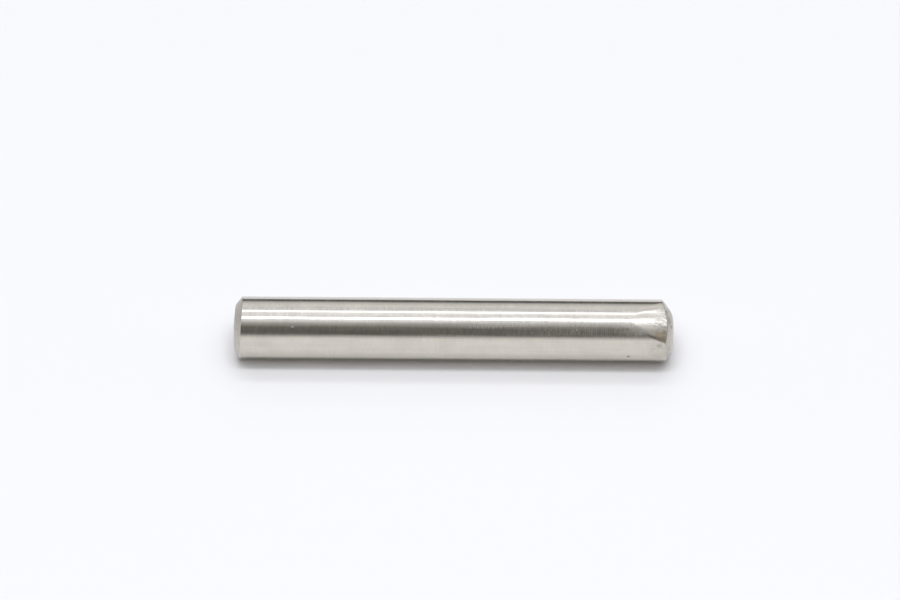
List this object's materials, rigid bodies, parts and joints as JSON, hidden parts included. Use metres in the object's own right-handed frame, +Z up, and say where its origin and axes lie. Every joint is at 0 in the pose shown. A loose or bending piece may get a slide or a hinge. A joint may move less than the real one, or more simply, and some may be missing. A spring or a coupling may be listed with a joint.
{
  "type": "dowel pin",
  "caption": "Round steel dowel pin with a bevelled rim and a crowned face at each end, worn flatter on one side of one end; it locates two parts in matching holes.",
  "frame": {"origin": "on the pin's axis, halfway along its length", "axes": "+X along the pin towards its worn end, +Z up as it lies, with the worn wall facing up and to the front (-Y)"},
  "size_m": [0.085, 0.012, 0.012],
  "materials": {
    "ground_steel": "ground bright, with fine marks round the pin and a duller, stained worn wall"
  },
  "bodies": {
    "root": {"dowel_pin": "ground_steel"}
  },
  "joints": []
}
